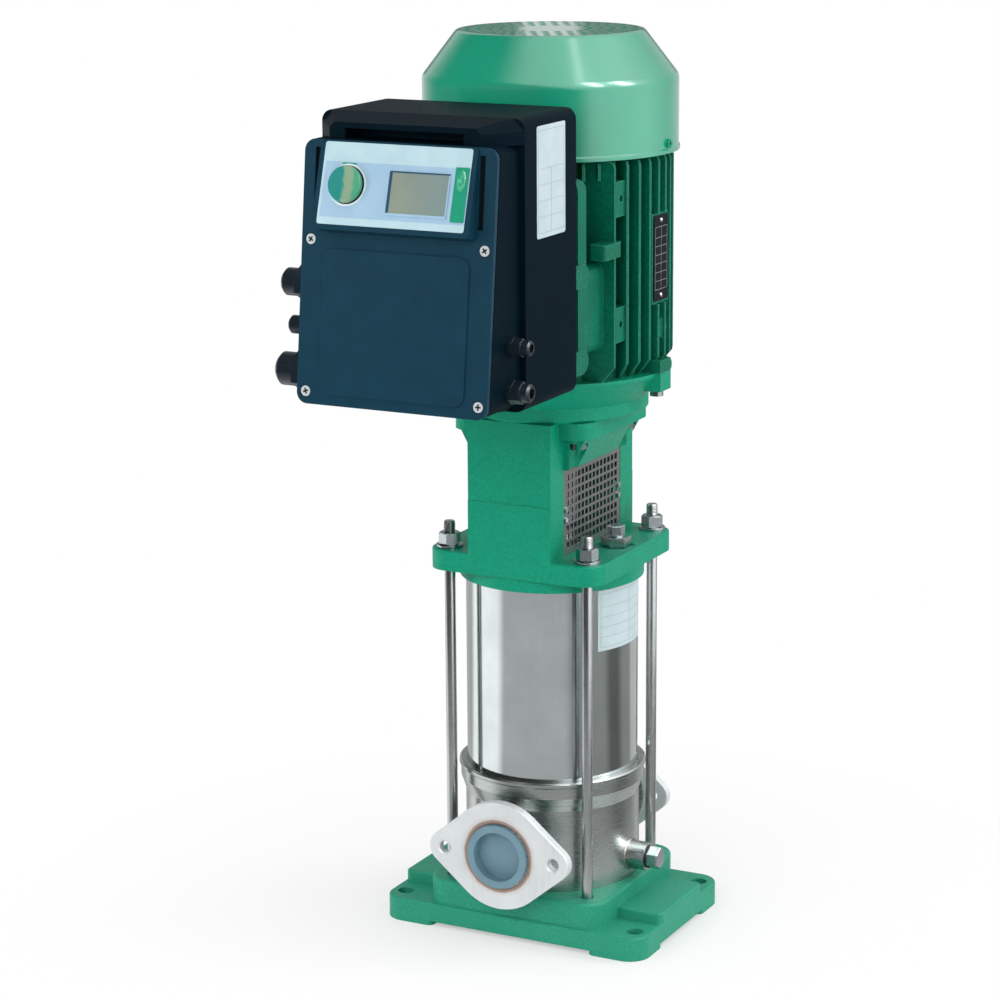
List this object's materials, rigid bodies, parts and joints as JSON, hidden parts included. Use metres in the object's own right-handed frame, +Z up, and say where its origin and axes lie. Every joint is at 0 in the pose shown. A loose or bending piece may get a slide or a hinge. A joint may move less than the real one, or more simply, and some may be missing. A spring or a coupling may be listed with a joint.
{
  "type": "vertical multistage inline water pump with drive",
  "caption": "Vertical multistage in-line water pump: cast foot, steel pump body between tie rods, lantern with coupling, finned motor on top and a front-mounted speed drive.",
  "frame": {"origin": "pump axis at the floor plane, the centre of the four foot bolt holes", "axes": "+Z up along the shaft, -Y out of the inlet flange and the drive's front, +X to the right seen from the front"},
  "size_m": [0.242, 0.3801, 0.7489],
  "materials": {
    "cast_green": "gloss paint on cast iron",
    "cowl_green": "gloss paint on sheet steel",
    "housing_steel": "satin",
    "sleeve_steel": "polished",
    "flange_steel": "satin",
    "inner_steel": "machined",
    "zinc_steel": "bright",
    "coupling_steel": "machined",
    "guard_steel": "satin",
    "cap_plastic": "smooth",
    "seal_rubber": "matt",
    "seal_ceramic": "lapped",
    "winding_copper": "enamelled",
    "fan_plastic": "moulded",
    "plate_black": "printed",
    "drive_plastic": "fine grain",
    "gland_plastic": "moulded",
    "foil": "printed foil",
    "screen_glass": "clear",
    "knob_green": "moulded",
    "spindle_plastic": "moulded",
    "board_green": "coated"
  },
  "bodies": {
    "root": {"base_plate": "cast_green", "lantern": "cast_green", "motor_flange": "cast_green", "motor_frame": "cast_green", "drive_carrier": "cast_green", "fan_cowl": "cowl_green", "bottom_housing": "housing_steel", "port_stubs": "housing_steel", "drain_boss": "housing_steel", "outer_sleeve": "sleeve_steel", "inlet_flange": "flange_steel", "outlet_flange": "flange_steel", "suction_duct": "inner_steel", "stage_casings": "inner_steel", "foot_bearing": "inner_steel", "seal_plate": "inner_steel", "motor_bearings": "inner_steel", "stator_core": "inner_steel", "end_shield": "inner_steel", "tie_rods": "zinc_steel", "tie_rod_washers": "zinc_steel", "tie_rod_nuts": "zinc_steel", "motor_bolts": "zinc_steel", "shield_screws": "zinc_steel", "cowl_screws": "zinc_steel", "guard_screws": "zinc_steel", "cover_screws": "zinc_steel", "vent_body": "zinc_steel", "right_guard": "guard_steel", "left_guard": "guard_steel", "sleeve_seals": "seal_rubber", "cover_gasket": "seal_rubber", "seal_seat": "seal_ceramic", "stator_windings": "winding_copper", "nameplate": "plate_black", "drive_housing": "drive_plastic", "front_cover": "drive_plastic", "display_frame": "drive_plastic", "gland_bodies": "gland_plastic", "gland_nuts": "gland_plastic", "display_foil": "foil", "screen": "screen_glass", "circuit_board": "board_green"},
    "rotor": {"pump_shaft": "inner_steel", "impellers": "inner_steel", "seal_rotor": "seal_ceramic", "rear_coupling_half": "coupling_steel", "front_coupling_half": "coupling_steel", "coupling_screws": "zinc_steel", "motor_shaft": "inner_steel", "rotor_core": "inner_steel", "fan": "fan_plastic"},
    "inlet_cap": {"inlet_cap": "cap_plastic"},
    "outlet_cap": {"outlet_cap": "cap_plastic"},
    "drain_washer": {"drain_washer": "seal_rubber"},
    "drain_plug": {"drain_plug": "zinc_steel"},
    "vent_washer": {"vent_washer": "zinc_steel"},
    "vent_screw": {"vent_screw": "zinc_steel"},
    "encoder_spindle": {"encoder_spindle": "spindle_plastic"},
    "control_knob": {"control_knob": "knob_green"}
  },
  "joints": [
    {"name": "rotor_spin", "type": "hinge", "parent": "root", "child": "rotor", "pos_m": [0, 0, 0.4], "axis": [0, 0, 1], "continuous": true},
    {"name": "inlet_cap_pull", "type": "slide", "parent": "root", "child": "inlet_cap", "axis": [0, -1, 0], "range_m": [0, 0.03]},
    {"name": "outlet_cap_pull", "type": "slide", "parent": "root", "child": "outlet_cap", "axis": [0, 1, 0], "range_m": [0, 0.03]},
    {"name": "drain_plug_lift", "type": "slide", "parent": "root", "child": "drain_washer", "axis": [1, 0, 0], "range_m": [0, 0.00267]},
    {"name": "drain_plug_turn", "type": "hinge", "parent": "drain_washer", "child": "drain_plug", "pos_m": [0.09, 0, 0.061], "axis": [1, 0, 0], "range_deg": [0, 720]},
    {"name": "vent_screw_lift", "type": "slide", "parent": "root", "child": "vent_washer", "axis": [0, 0, 1], "range_m": [0, 0.002]},
    {"name": "vent_screw_turn", "type": "hinge", "parent": "vent_washer", "child": "vent_screw", "pos_m": [0.059, 0, 0.337], "axis": [0, 0, 1], "range_deg": [0, 720]},
    {"name": "knob_press", "type": "slide", "parent": "root", "child": "encoder_spindle", "axis": [0, 0.9588, -0.284], "range_m": [0, 0.001], "stiffness_N_per_m": 1500},
    {"name": "knob_turn", "type": "hinge", "parent": "encoder_spindle", "child": "control_knob", "pos_m": [-0.0395, -0.26109, 0.65239], "axis": [0, -0.9588, 0.284], "continuous": true}
  ],
  "couplings": [
    {"joint": "drain_plug_turn", "follows": "drain_plug_lift", "rad_per_m": 4699.5},
    {"joint": "vent_screw_turn", "follows": "vent_screw_lift", "rad_per_m": 6283.2}
  ]
}
